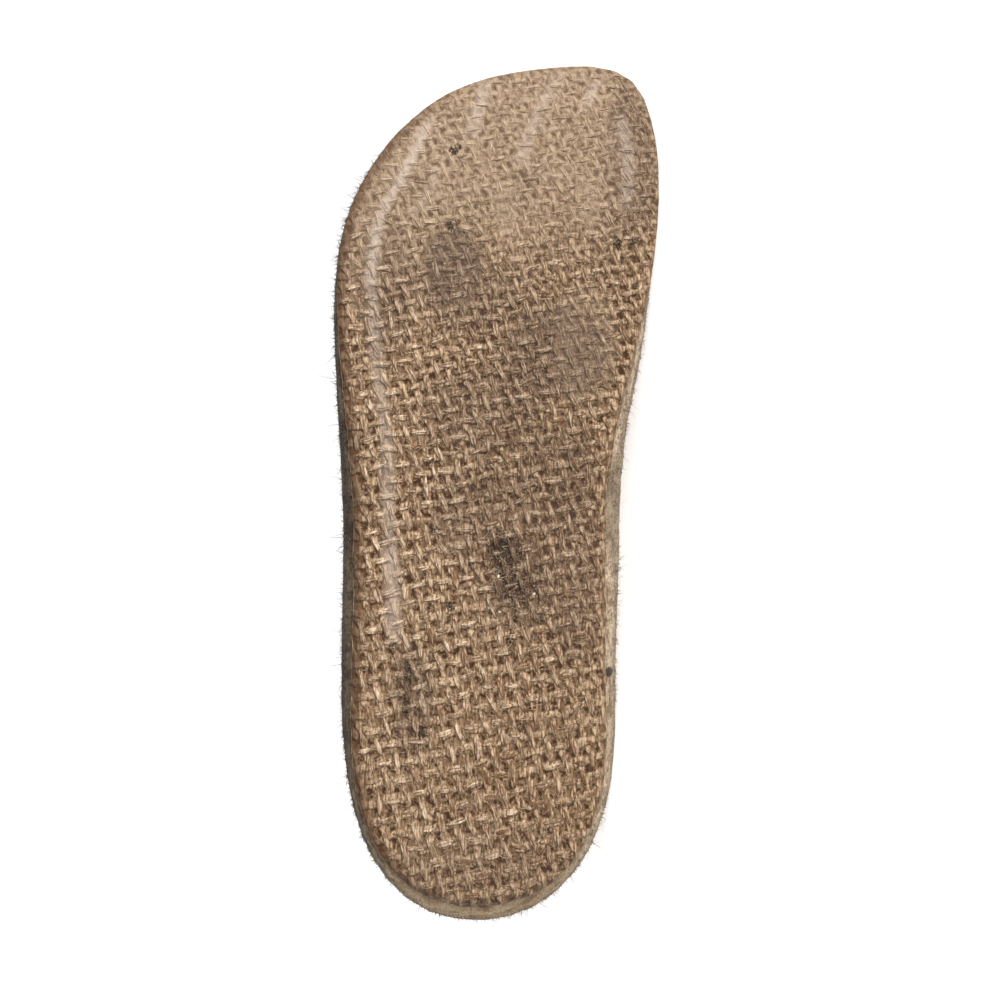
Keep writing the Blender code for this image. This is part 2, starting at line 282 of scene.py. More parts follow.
# Bare latex along the sole's edge: how far in it fades, its shares, where the outer side's begins.
EDGE_FADE = (1.2, 3.6)
EDGE_RAGGED = 3.0
EDGE_SHARE = 0.10
OUTER_EDGE_SHARE = 0.58
OUTER_EDGE = (4.0, 28.0)
EDGE_FACING = 0.6

# Where along the sole its cut edge fades, where its yarns are dull at the heel and lighter outwards.
CUT_ALONG = (165.0, 192.0)
DULL_HEEL = (14.0, 76.0)
LIGHTER_SIDE = (-26.0, 26.0)

# How well soot holds on latex and on yarn.
LATEX_HOLD = 0.92
YARN_HOLD = 0.64

# Painted shade on the felt's lower outer side: its strength on each piece, where it lies and grows; then one
# dark spot.
BAND_PAINTED_SHADE = 0.95
UPPER_PAINTED_SHADE = 0.40
WOOL_PAINTED_SHADE = 0.8
SHADE_SIDE = (24.0, 36.0)
SHADE_HEIGHT = (7.0, 24.0)
SHADE_ALONG = (30.0, 62.0)
BAND_SPOT = (72.6, 39.2, 1.7, 1.5, 0.90)

# The cut edge of the midsole: how strongly it shows, where it is tan and where its brown rim begins.
CUT_SHOWS = 0.6
TAN_ALONG = (2.0, 26.0)
RIM_UP = (4.0, 5.2)

# Soft creases over the instep: along, slant across, width, depth.
INSTEP_CREASES = (
    (163.0, 0.16, 5.0, 0.7),
    (176.0, -0.08, 5.5, 1.3),
    (189.0, 0.06, 5.0, 0.9),
)
CREASE_FOOT = 24.0
CREASE_TOP = 42.0

# Soft dents in the sides of the upper: along, height, reach along, reach up, depth, side.
SIDE_DENTS = (
    (100.0, 34.0, 16.0, 9.0, 1.4, -1.0),
    (94.0, 36.0, 14.0, 9.0, 1.1, 1.0),
    (150.0, 30.0, 10.0, 8.0, 0.9, -1.0),
)
DENT_SIDE = (5.0, 25.0)

# Finer meshes: voxel size, rounds of softening, coarse and fine unevenness, shift of its noise.
SHELLS = {
    "outsole": {"voxel": 0.85, "rounds": 2, "coarse": 0.10, "fine": 0.07, "shift": 3.0},
    "midsole": {"voxel": 1.15, "rounds": 2, "coarse": 0.16, "fine": 0.10, "shift": 11.0},
    "upper": {"voxel": 1.05, "rounds": 4, "coarse": 0.28, "fine": 0.12, "shift": 23.0},
    "insole": {"voxel": 1.3, "rounds": 3, "coarse": 0.12, "fine": 0.08, "shift": 37.0},
}
SAME_POINT = 0.001
SOFTENING = 0.5
COARSE_LUMPS = 9.0
FINE_LUMPS = 2.6
FINE_SHIFT = 40.0

# Fibres in the felt: how tightly they lie along and across themselves, and the ways they turn.
FELT_GRAIN = (0.42, 1.7, 1.7)
FELT_TURNS = ((0.2, 0.5, 0.1), (1.2, 0.3, 0.9), (0.4, 1.1, 1.8), (1.7, 0.8, 2.6))

# Loose fibres: rings in each, taper along it, corners of a ring, and a direction to set the rings by.
FIBRE_STEPS = 5
FIBRE_TAPER = ((0.0, 0.5, 1.0), (1.0, 0.9, 0.25))
FIBRE_PROFILE = (0.0, 120.0, 240.0)
FIBRE_ASIDE = (0.31, 0.52, 0.80)

# Loose wool: how many, where it grows, how it stands and curls; a length has shape, scale, least, most.
WOOL_FIBRES = 6200
RIM_FIBRES = 0.75
RIM_HEIGHTS = (4.0, 7.0)
WOOL_FOOT = 3.5
WOOL_FACING = 0.35
WOOL_STAND = 0.7
WOOL_SPREAD = 0.6
WOOL_CURL = 1.2
WOOL_BEND = 0.6
WOOL_LENGTH = (1.3, 0.42, 0.25, 3.0)
WOOL_THICKNESS = (0.09, 0.18)
FLOOR_GAP = 0.2

# Loose jute: how many, where it lies, how it turns and bends, its length as for wool, and its lift.
JUTE_FIBRES = 1500
JUTE_ALONG = (6.0, 215.0)
JUTE_ACROSS = (-42.0, 52.0)
JUTE_TURNS = (-0.33, 1.38)
JUTE_SWING = 0.5
JUTE_BEND = 0.16
JUTE_LENGTH = (3.0, 1.0, 1.2, 7.0)
JUTE_END = 0.4
JUTE_LIFT = 0.34
JUTE_END_LIFT = 0.10
JUTE_THICKNESS = (0.08, 0.14)


def shoe_pose():
    """The matrix from the shoe's own frame to the model's, from the two flat spots of the tread."""
    mounts = {mount["name"]: mount for mount in frame["record"]["mounts"]}
    heel = Vector(mounts["tread_heel"]["pos_m"])
    ball = Vector(mounts["tread_ball"]["pos_m"])
    up = -Vector(mounts["tread_heel"]["axis"])
    slant = math.atan2(BALL_SPOT[1] - HEEL_SPOT[1], BALL_SPOT[0] - HEEL_SPOT[0])
    line = (ball - heel).normalized()
    beside = up.cross(line)
    along = (line * math.cos(slant) - beside * math.sin(slant)).normalized()
    across = up.cross(along)
    pose = Matrix((along, across, up)).transposed().to_4x4()
    pose.translation = heel - (along * HEEL_SPOT[0] + across * HEEL_SPOT[1]) * MM
    return pose


POSE = shoe_pose()
TURN = np.array(POSE.to_3x3())


def to_row(points):
    """Shoe points in millimetres as points of the model in metres."""
    return points @ TURN.T * MM + np.array(POSE.translation)


def to_shoe(points):
    """Points of the model in metres as shoe points in millimetres."""
    return (points - np.array(POSE.translation)) @ TURN / MM


def shoe_vector(place):
    """One shoe place in millimetres as a point of the model in metres."""
    return POSE @ (Vector(place) * MM)


def tint(colour):
    """A colour given as it looks on screen, from 0 to 255, as shader values."""
    parts = [part / 255 for part in colour]
    return [part / 12.92 if part <= 0.04045 else ((part + 0.055) / 1.055) ** 2.4 for part in parts] + [1.0]


def tints(pair):
    """The dark and the light of a material as shader values."""
    return [tint(colour) for colour in pair]


class Value:
    """A number in a material's nodes: Python maths on it adds Math nodes."""

    def __init__(self, finish, socket):
        self.finish = finish
        self.socket = socket

    def maths(self, operation, first, second=0.0):
        return self.finish.node("ShaderNodeMath", {"operation": operation}, {0: first, 1: second})

    def __add__(self, other):
        return self.maths("ADD", self, other)

    def __sub__(self, other):
        return self.maths("SUBTRACT", self, other)

    def __rsub__(self, other):
        return self.maths("SUBTRACT", other, self)

    def __mul__(self, other):
        return self.maths("MULTIPLY", self, other)

    def __truediv__(self, other):
        return self.maths("DIVIDE", self, other)

    def __rtruediv__(self, other):
        return self.maths("DIVIDE", other, self)

    def __abs__(self):
        return self.maths("ABSOLUTE", self)

    __radd__ = __add__
    __rmul__ = __mul__


class Finish:
    """One material made of nodes: a Principled shader and what feeds it."""

    def __init__(self, name, constants):
        self.material = bpy.data.materials.new(name)
        self.material.use_nodes = True
        self.tree = self.material.node_tree
        self.shader = self.tree.nodes["Principled BSDF"]
        self.feed(self.shader, constants)

    def feed(self, node, inputs):
        for key, value in inputs.items():
            if isinstance(value, Value):
                self.tree.links.new(value.socket, node.inputs[key])
            else:
                node.inputs[key].default_value = value

    def node(self, kind, settings, inputs, output=0):
        node = self.tree.nodes.new(kind)
        for key, value in settings.items():
            setattr(node, key, value)
        self.feed(node, inputs)
        return Value(self, node.outputs[output])

    def place(self):
        """The point in the shoe's own frame, in millimetres."""
        point = self.node("ShaderNodeTexCoord", {}, {}, "Object")
        moved = {
            "Vector": point,
            "Location": POSE.translation,
            "Rotation": POSE.to_euler(),
            "Scale": (MM, MM, MM),
        }
        return self.node("ShaderNodeMapping", {"vector_type": "TEXTURE"}, moved)

    def axes(self, place):
        """The three parts of a point: along, across and up."""
        split = self.node("ShaderNodeSeparateXYZ", {}, {0: place})
        return [Value(self, socket) for socket in split.socket.node.outputs]

    def turned(self, place, turn, stretch):
        """A point turned and stretched, for grain that runs one way."""
        return self.node("ShaderNodeMapping", {}, {"Vector": place, "Rotation": turn, "Scale": stretch})

    def noise(self, place, scale, detail=2.0):
        return self.node("ShaderNodeTexNoise", {}, {"Vector": place, "Scale": scale, "Detail": detail})

    def mix(self, share, first, second):
        return self.node("ShaderNodeMix", {"data_type": "RGBA"}, {0: share, 6: first, 7: second}, 2)

    def tone(self, name):
        """A number kept with the points of the mesh."""
        return self.node("ShaderNodeAttribute", {"attribute_name": name}, {}, "Fac")

    def curve(self, value, points):
        """A smooth curve through points that lie between 0 and 1 both ways."""
        drawn = self.node("ShaderNodeFloatCurve", {}, {"Value": value})
        mapping = drawn.socket.node.mapping
        line = mapping.curves[0].points
        for start, height in points[1:-1]:
            line.new(start, height)
        line[0].location = points[0]
        line[len(line) - 1].location = points[-1]
        mapping.update()
        return drawn

    def bump(self, height, distance, strength):
        sizes = {"Height": height, "Distance": distance * MM, "Strength": strength}
        return self.node("ShaderNodeBump", {}, sizes)

    def finish(self, colour, roughness, normal):
        self.feed(self.shader, {"Base Color": colour, "Roughness": roughness, "Normal": normal})
        return self.material


def ease(value, start, end):
    """0 before start, 1 after end and smooth between, for numbers and for shader values."""
    if isinstance(value, Value):
        ends = {"Value": value, "From Min": start, "From Max": end}
        return value.finish.node("ShaderNodeMapRange", {"interpolation_type": "SMOOTHSTEP"}, ends)
    share = np.clip((value - start) / (end - start), 0.0, 1.0)
    return share * share * (3 - 2 * share)


def sine(value):
    return value.maths("SINE", value) if isinstance(value, Value) else np.sin(value)


def natural_log(value):
    return value.maths("LOGARITHM", value, math.e) if isinstance(value, Value) else np.log(value)


def larger(first, second):
    return first.maths("MAXIMUM", first, second) if isinstance(first, Value) else np.maximum(first, second)


def wander(along, across, waves):
    """How far the yarns wander to and fro: two waves, each with its pace along and across."""
    (first_along, first_across), (second_along, second_across) = waves
    first = sine(first_along * along + first_across * across)
    return first + sine(second_along * along + second_across * across)


def warp_count(along, across):
    """How many warp yarns a place on the sole lies from the middle one."""
    lean = WARP_LEAN * along + WARP_BEND * along * along - WARP_START
    sway = wander(along, across, WARP_WAVES)
    return (across + lean + WARP_SWAY * sway) / (WARP_SPACING - WARP_CLOSING * along)


def weft_count(along, across):
    """How many weft yarns a place on the sole lies from the first one, on a scale that starts anywhere."""
    sway = wander(along, across, WEFT_WAVES)
    level = along - WEFT_RISE * across + WEFT_SWAY * sway
    return natural_log(WEFT_SPACING - WEFT_CLOSING * level) / -WEFT_CLOSING


def cloth(finish, place, along, across):
    """The yarns under the latex, from 0 to 1: height, openness of the cloth, how far warp tops weft."""
    stray = (finish.noise(place, 0.3, 3.0) - 0.5) * YARN_STRAY
    warp = warp_count(along, across) + stray
    weft = weft_count(along, across) - stray
    quarter = math.pi / 2
    over = sine(warp * math.pi + quarter) * sine(weft * math.pi + quarter)
    lengthwise = 1 - ease(warp.maths("PINGPONG", warp, 0.5), YARN_TOP, YARN_FOOT)
    crosswise = 1 - ease(weft.maths("PINGPONG", weft, 0.5), YARN_TOP, YARN_FOOT)
    warp_height = lengthwise * (YARN_LEVEL + YARN_WAVE * over)
    weft_height = crosswise * (YARN_LEVEL - YARN_WAVE * over)
    warp_on_top = ease(warp_height - weft_height, -TOP_BLEND, TOP_BLEND)
    return larger(warp_height, weft_height), (1 - lengthwise) * (1 - crosswise), warp_on_top


def weave_place(warp, weft):
    """Where on the sole a warp and a weft yarn cross."""
    along = np.full(warp.shape, CROSSING_START)
    across = np.zeros(warp.shape)
    for _ in range(CROSSING_ROUNDS):
        across = across + (warp - warp_count(along, across)) * CROSSING_STEP_ACROSS
        along = along + (weft - weft_count(along, across)) * CROSSING_STEP_ALONG
    return along, across


def patches(along, across, table, ragged):
    """How strongly a place lies in the patches of a table, with ragged edges."""
    total = 0.0 * along
    for middle, side, reach_along, reach_across, strength in table:
        off_along = (along - middle) / reach_along
        off_across = (across - side) / reach_across
        inside = 1 - ease(off_along * off_along + off_across * off_across + ragged, *PATCH_EDGE)
        total = larger(total, inside * strength)
    return total


def toe_wear(along, across):
    """The toe is worn: its cloth is dusty, flat and low in contrast."""
    grown = ease(along - TOE_SLANT * across, *TOE_WEAR)
    return grown * (1 - TOE_CORNER_FADE * ease(across, *TOE_CORNER))


def streaks(along, across, ragged):
    """How strongly a place lies in the scuffed streaks."""
    total = 0.0 * along
    for points, width, strength in STREAKS:
        rising = points[::-1]
        first = rising[0][0]
        last = rising[-1][0]
        drawn = [((place - first) / (last - first), side / STREAK_SPAN + 0.5) for place, side in rising]
        line = (along.finish.curve((along - first) / (last - first), drawn) - 0.5) * STREAK_SPAN
        beside = 1 - ease(abs(across - line) + ragged, width * STREAK_CORE, width * STREAK_FADE)
        begun = ease(along, first + STREAK_START[0], first + STREAK_START[1])
        ended = ease(along, last + STREAK_END[0], last + STREAK_END[1])
        within = begun * (1 - ended)
        total = larger(total, beside * within * strength)
    return total


def edged(finish, across, colour, ragged):
    """The sole's colour with the bare brown latex along its outer edge."""
    near = 1 - ease(finish.tone("margin") + ragged * EDGE_RAGGED, *EDGE_FADE)
    share = EDGE_SHARE + OUTER_EDGE_SHARE * ease(0.0 - across, *OUTER_EDGE)
    return finish.mix(near * share, colour, tint(LATEX_EDGE))


def marked(finish, place, colour, hold):
    """The sole's colour under its dirt and scuffed streaks, with painted glints; hold says how well soot
    covers it.
    """
    along, across, _ = finish.axes(place)
    ragged = finish.noise(place, 0.55, 3.0) - 0.5
    fine = finish.noise(place, 1.6, 2.0)
    smear = patches(along, across, SMEARS, ragged * 1.5)
    grime = patches(along, across, GRIME, ragged * 1.6)
    colour = finish.mix(grime * ease(fine, 0.05, 0.6), colour, tint(GRIME_GREY))
    crumbs = (1 - ease(fine, 0.38, 0.46)) * ease(grime, 0.05, 0.40)
    colour = finish.mix(crumbs * 0.5, colour, tint(CRUMB_BROWN))
    soot = ease(fine + smear * 0.35, 0.58, 0.78) * ease(smear, 0.0, 0.2)
    colour = finish.mix(soot * hold, colour, tint(SOOT))
    scuff = streaks(along, across, ragged * 2.4)
    colour = finish.mix(scuff * ease(fine, 0.08, 0.55), colour, tint(SCUFF_PALE))
    # Painted glints of light on glossy latex.
    bright = patches(along, across, PAINTED_GLINTS, (fine - 0.5) * 0.8)
    return finish.mix(bright, colour, tint(GLINT_CREAM))


def latex_finish():
    """Brown latex over jute yarns: darker latex with painted shade between the yarns, painted shade in the
    openings, dusty where worn, straw at the cut edge.
    """
    finish = Finish("brown_latex", {"Specular IOR Level": 0.18})
    place = finish.place()
    along, across, _ = finish.axes(place)
    height, opening, warp_on_top = cloth(finish, place, along, across)
    lengthwise = finish.noise(finish.turned(place, (0.0, 0.0, WARP_TURN), (0.30, 1.6, 1.0)), 1.0, 2.0)
    crosswise = finish.noise(finish.turned(place, (0.0, 0.0, WEFT_TURN), (0.30, 1.6, 1.0)), 1.0, 2.0)
    grain = finish.noise(place, 0.7, 3.0)
    speck = finish.noise(place, 2.0, 3.0)
    cloud = finish.noise(place, 0.06, 3.0)
    ragged = finish.noise(place, 0.3, 2.0) - 0.5
    smooth = patches(along, across, SMOOTH_PATCHES, ragged)
    worn = larger(smooth, toe_wear(along, across) * 0.82)
    fibres = (crosswise + (lengthwise - crosswise) * warp_on_top) * 0.8 + speck * 0.2
    colour = finish.mix(ease(fibres, 0.36, 0.64), *tints(LATEX_YARN))
    # Darker latex away from the yarns, deepened with painted shade.
    colour = finish.mix((1 - ease(height, 0.10, 0.60)) * 0.5, colour, tint(LOW_LATEX_AND_SHADE))
    filled = ease(grain * 0.7 + cloud * 0.3, 0.42, 0.56)
    # Painted shade in the openings of the cloth where latex does not fill them.
    colour = finish.mix(opening * (1 - filled * 0.8), colour, tint(OPENING_SHADE))
    colour = finish.mix((1 - ease(grain, 0.32, 0.46)) * 0.6, colour, tint(LATEX_PIT))
    dust = finish.mix(ease(grain * 0.75 + speck * 0.25, 0.36, 0.64), *tints(LATEX_DUST))
    colour = finish.mix(larger(smooth, worn * (1 - 0.5 * opening)), colour, dust)
    colour = marked(finish, place, edged(finish, across, colour, ragged), LATEX_HOLD)
    side = finish.tone("side")
    cut = ease(side, 0.55, 0.82) * (1 - ease(along, *CUT_ALONG))
    rolled = ease(side, 0.05, 0.35) * (1 - cut)
    colour = finish.mix(rolled * 0.3, colour, tint(LATEX_ROLLED))
    straw = finish.mix(ease(crosswise, 0.35, 0.6), *tints(CUT_STRAW))
    colour = finish.mix(cut, colour, straw)
    relief = height * (1 - 0.8 * worn) + (fibres * 0.45 + grain * 0.4) * (1 - 0.5 * worn)
    roughness = 0.46 + 0.3 * worn + 0.2 * grain
    return finish.finish(colour, roughness, finish.bump(relief, 0.9, 0.9))


def yarn_finish(name, turn):
    """Straw-coloured yarn of one direction, each strand a little lighter or darker, dulled by latex; darker
    where it lies low, with latex where it dives in and painted shade along its low sides.
    """
    finish = Finish(name, {"Specular IOR Level": 0.2})
    place = finish.place()
    along, across, _ = finish.axes(place)
    strands = finish.noise(finish.turned(place, (0.0, 0.0, turn), (0.35, 2.2, 1.0)), 1.0, 3.0)
    coat = finish.noise(place, 0.6, 3.0)
    ragged = finish.noise(place, 0.3, 2.0) - 0.5
    worn = larger(patches(along, across, SMOOTH_PATCHES, ragged), toe_wear(along, across) * 0.6)
    light = finish.tone("tone") * 0.8 + (ease(strands, 0.3, 0.7) - 0.5) * 0.7
    light = light + 0.24 * ease(0.0 - across, *LIGHTER_SIDE) - 0.10
    light = light - 0.16 * (1 - ease(along, *DULL_HEEL))
    colour = finish.mix(light, *tints(YARN_STRAW))
    colour = finish.mix(ease(coat, 0.46, 0.64) * 0.66, colour, tint(YARN_COAT))
    # Latex where the yarn dives in, and painted shade along its low sides.
    sunk_and_shade = 1 - ease(finish.tone("height"), 0.0, 0.46)
    colour = finish.mix(sunk_and_shade * (1 - worn) * 0.85, colour, tint(YARN_SUNK_AND_SHADE))
    colour = finish.mix(worn * 0.5, colour, tint(YARN_WORN))
    colour = marked(finish, place, edged(finish, across, colour, ragged), YARN_HOLD)
    return finish.finish(colour, 0.66 + 0.2 * strands, finish.bump(strands + coat * 0.6, 0.4, 0.8))


def shade_on_outer_side(across, up):
    """The lower part of the outer side, which gets painted shade."""
    return ease(0.0 - across, *SHADE_SIDE) * (1 - ease(up, *SHADE_HEIGHT))


def felt_finish(name, colours, painted_shade, spots=(), cut=0.0):
    """Pressed wool: short fibres every way, in two tones; a cut edge shows layers and is tan at the heel;
    painted shade darkens the lower outer side.
    """
    finish = Finish(name, {"Sheen Weight": 0.12, "Sheen Roughness": 0.5, "Specular IOR Level": 0.2})
    place = finish.place()
    along, across, up = finish.axes(place)
    fibres = finish.noise(finish.turned(place, FELT_TURNS[0], FELT_GRAIN), 1.0, 3.0)
    for turn in FELT_TURNS[1:]:
        fibres = larger(fibres, finish.noise(finish.turned(place, turn, FELT_GRAIN), 1.0, 3.0))
    cloud = finish.noise(place, 0.14, 4.0)
    fleck = finish.noise(place, 1.1, 2.0)
    share = ease(fibres * 0.8 + cloud * 0.2, 0.46, 0.72)
    colour = finish.mix(share, *tints(colours))
    colour = finish.mix((1 - ease(fleck, 0.36, 0.48)) * 0.55, colour, tint(FELT_FLECK))
    layers = finish.noise(finish.turned(place, (0.0, 0.0, 0.0), (0.16, 0.16, 1.5)), 1.0, 3.0)
    colour = finish.mix((1 - ease(along, *TAN_ALONG)) * cut, colour, tint(HEEL_TAN))
    colour = finish.mix((1 - ease(layers, 0.34, 0.50)) * cut, colour, tint(LAYERS[0]))
    colour = finish.mix(ease(layers, 0.54, 0.66) * cut * 0.7, colour, tint(LAYERS[1]))
    colour = finish.mix(ease(up + (fibres - 0.5) * 2.0, *RIM_UP) * cut, colour, tint(RIM_BROWN))
    # Painted shade: the lower outer side is darkened as if it lay in shade.
    outer_shade = shade_on_outer_side(across, up) * (0.75 + 0.25 * ease(cloud, 0.35, 0.6))
    outer_shade = outer_shade * (0.6 + 0.4 * ease(along, *SHADE_ALONG))
    colour = finish.mix(outer_shade * painted_shade, colour, tint(PAINTED_SHADE_BROWN))
    colour = finish.mix(patches(along, across, spots, cloud - 0.5), colour, tint(FELT_SPOT))
    relief = fibres + cloud * 0.8 + fleck * 0.7 + layers * cut
    return finish.finish(colour, 0.86 + 0.1 * cloud, finish.bump(relief, 0.7, 0.9))


def fibre_finish(name, colours, painted_shade):
    """Single loose fibres, with painted shade on the lower outer side."""
    finish = Finish(name, {"Sheen Weight": 0.1})
    place = finish.place()
    _, across, up = finish.axes(place)
    colour = finish.mix(ease(finish.noise(place, 0.35, 1.0), 0.35, 0.65), *tints(colours))
    # Painted shade on the wool fibres of the lower outer side.
    colour = finish.mix(shade_on_outer_side(across, up) * painted_shade, colour, tint(WOOL_SHADE_BROWN))
    bumps = finish.noise(place, 4.0, 1.0)
    return finish.finish(colour, 0.75 + 0.15 * bumps, finish.bump(bumps, 0.02, 0.3))


def floor_finish():
    """Plain white floor, bright all over."""
    white = (1.0, 1.0, 1.0, 1.0)
    grey = (FLOOR_GREY, FLOOR_GREY, FLOOR_GREY, 1.0)
    finish = Finish("white_floor", {"Emission Color": white, "Emission Strength": FLOOR_GLOW})
    finish.feed(finish.shader, {"Base Color": grey, "Roughness": 0.9})
    return finish.material


def make_piece(name, mesh, material):
    """Puts a mesh in the scene as a piece of the shoe."""
    mesh.materials.clear()
    mesh.materials.append(material)
    mesh.shade_smooth()
    piece = bpy.data.objects.new(name, mesh)
    bpy.context.scene.collection.objects.link(piece)
    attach(piece, "root")
    return piece


def fine_mesh(node):
    """An even and slightly softened copy of a node's mesh."""
    mesh = frame["nodes"][node].data.copy()
    shell = bmesh.new()
    shell.from_mesh(mesh)
    bmesh.ops.remove_doubles(shell, verts=shell.verts, dist=SAME_POINT * MM)
    shell.to_mesh(mesh)
    shell.free()
    draft = bpy.data.objects.new("draft", mesh)
    bpy.context.scene.collection.objects.link(draft)
    even = draft.modifiers.new("even", "REMESH")
    even.mode = "VOXEL"
    even.voxel_size = SHELLS[node]["voxel"] * MM
    soft = draft.modifiers.new("soft", "SMOOTH")
    soft.factor = SOFTENING
    soft.iterations = SHELLS[node]["rounds"]
    graph = bpy.context.evaluated_depsgraph_get()
    fine = bpy.data.meshes.new_from_object(draft.evaluated_get(graph))
    bpy.data.objects.remove(draft)
    return fine


def mesh_points(mesh):
    """A mesh's points in the shoe's frame."""
    flat = np.empty(len(mesh.vertices) * 3)
    mesh.vertices.foreach_get("co", flat)
    return to_shoe(flat.reshape(-1, 3))


def mesh_normals(mesh):
    """The directions in which a mesh's points face, in the shoe's frame."""
    flat = np.empty(len(mesh.vertices) * 3)
    mesh.vertex_normals.foreach_get("vector", flat)
    return flat.reshape(-1, 3) @ TURN


def set_points(mesh, points):
    mesh.vertices.foreach_set("co", to_row(points).ravel())
    mesh.update()


def lumps(points, size, shift):
    """A soft noise from -1 to 1 at each point, with lumps of about that size."""
    return np.array([noise.noise(Vector(point) / size + Vector((shift, 0.0, 0.0))) for point in points])


def uneven(mesh, node):
    """Moves a mesh's points in and out a little, as hand-pressed material is."""
    shell = SHELLS[node]
    points = mesh_points(mesh)
    coarse = shell["coarse"] * lumps(points, COARSE_LUMPS, shell["shift"])
    fine = shell["fine"] * lumps(points, FINE_LUMPS, shell["shift"] + FINE_SHIFT)
    set_points(mesh, points + mesh_normals(mesh) * (coarse + fine)[:, None])


def crease_upper(mesh):
    """Presses the soft creases and dents into the upper, the same way on both faces of its wall."""
    points = mesh_points(mesh)
    along, across, up = points.T
    for start, slant, width, depth in INSTEP_CREASES:
        off = (along - start - slant * across) / width
        trough = (1 - off * off) * np.exp(-off * off) * depth
        up = up - trough * ease(points[:, 2], CREASE_FOOT, CREASE_TOP)
    for middle, height, reach_along, reach_up, depth, side in SIDE_DENTS:
        off = ((along - middle) / reach_along) ** 2 + ((points[:, 2] - height) / reach_up) ** 2
        beside = ease(side * points[:, 1], *DENT_SIDE)
        across = across - side * depth * np.exp(-off) * beside
    set_points(mesh, np.stack((along, across, up), axis=1))


def sweep_mesh(name, centres, sides, ups, profile):
    """One mesh of many short swept bars: the centres of their rings and each ring's two half axes."""
    angles = np.radians(profile)
    count, rings, _ = centres.shape
    corners = len(profile)
    points = centres[:, :, None] + sides[:, :, None] * np.cos(angles)[:, None]
    points = points + ups[:, :, None] * np.sin(angles)[:, None]
    ring = np.arange(corners)
    following = np.roll(ring, -1)
    wall = []
    for step in range(rings - 1):
        here = step * corners
        above = here + corners
        wall.append(np.stack((here + ring, here + following, above + following, above + ring), 1))
    bar = [tuple(face) for face in np.concatenate(wall).tolist()]
    bar.append(tuple(ring[::-1].tolist()))
    bar.append(tuple((ring + (rings - 1) * corners).tolist()))
    faces = []
    for start in range(0, count * rings * corners, rings * corners):
        faces.extend(tuple(start + corner for corner in face) for face in bar)
    mesh = bpy.data.meshes.new(name)
    mesh.from_pydata(to_row(points.reshape(-1, 3)), [], faces)
    return mesh


def keep_tone(mesh, name, values):
    """Keeps one number with each point of a mesh."""
    kept = mesh.attributes.new(name, "FLOAT", "POINT")
    kept.data.foreach_set("value", np.asarray(values, dtype=np.float32).ravel())


def unit(vectors):
    return vectors / np.linalg.norm(vectors, axis=-1, keepdims=True)


def tread_under(tree, along, across):
    """The tread's points below these places and the directions in which they face, and which were found."""
    points = np.zeros((len(along), 3))
    facing = np.tile((0.0, 0.0, -1.0), (len(along), 1))
    found = np.zeros(len(along), dtype=bool)
    for number, (length, side) in enumerate(zip(along.tolist(), across.tolist())):
        start = Vector((length, side, BELOW_TREAD))
        place, normal, _, _ = tree.ray_cast(start, Vector((0.0, 0.0, 1.0)))
        if place is not None and normal.z < FLAT_ENOUGH:
            points[number] = place
            facing[number] = normal
            found[number] = True
    return points, facing, found


def weave_sites():
    """The yarn numbers of every crossing on and round the sole."""
    corners = [(along, across) for along in CLOTH_ALONG for across in CLOTH_ACROSS]
    warps = [float(warp_count(*corner)) for corner in corners]
    wefts = [float(weft_count(*corner)) for corner in corners]
    warp = np.arange(math.floor(min(warps)), math.ceil(max(warps)))
    weft = np.arange(math.floor(min(wefts)), math.ceil(max(wefts)))
    grid = np.meshgrid(warp, weft, indexing="ij")
    return grid[0].ravel().astype(float), grid[1].ravel().astype(float)


def float_sites(kind):
    """The places of one kind of float: warp and weft take turns on top."""
    warp, weft = weave_sites()
    chosen = (warp + weft) % 2 == (0 if kind == "warp" else 1)
    return warp[chosen], weft[chosen]


def edge_tree(mesh):
    """The points of the sole's side wall, seen from below, for finding the nearest."""
    edge = mesh_points(mesh)[np.abs(mesh_normals(mesh)[:, 2]) < EDGE_FACING]
    tree = KDTree(len(edge))
    for number, (along, across, _) in enumerate(edge.tolist()):
        tree.insert((along, across, 0.0), number)
    tree.balance()
    return tree


def edge_distance(edge, points):
    """How far points on the sole lie in from its side wall."""
    return np.array([edge.find((along, across, 0.0))[2] for along, across, _ in points.tolist()])


def float_lines(kind, tree, edge, rng):
    """Middle, facing, direction and length of one yarn spacing of each float that lies on the tread."""
    warp, weft = float_sites(kind)
    warp = warp + rng.normal(0.0, FLOAT_STRAY, len(warp))
    weft = weft + rng.normal(0.0, FLOAT_STRAY, len(weft))
    points, facing, found = tread_under(tree, *weave_place(warp, weft))
    found &= rng.random(len(found)) > FLOAT_LOST
    found &= edge_distance(edge, points) > FLOAT_MARGIN
    warp, weft, points, facing = warp[found], weft[found], points[found], facing[found]
    half = 0.0 if kind == "weft" else 0.5
    run = np.stack(weave_place(warp + 0.5 - half, weft + half), 1)
    run = run - np.stack(weave_place(warp - 0.5 + half, weft - half), 1)
    spacing = np.linalg.norm(run, axis=1)
    line = np.concatenate((run, np.zeros((len(run), 1))), axis=1)
    line = line + rng.normal(0.0, FLOAT_TURN, line.shape) * spacing[:, None]
    line = unit(line - facing * np.sum(line * facing, axis=1, keepdims=True))
    return points, facing, line, spacing


def varied(rng, spread, count):
    """Numbers that vary about a middle, kept between a least and a most."""
    middle, width, least, most = spread
    return np.clip(rng.normal(middle, width, count), least, most)


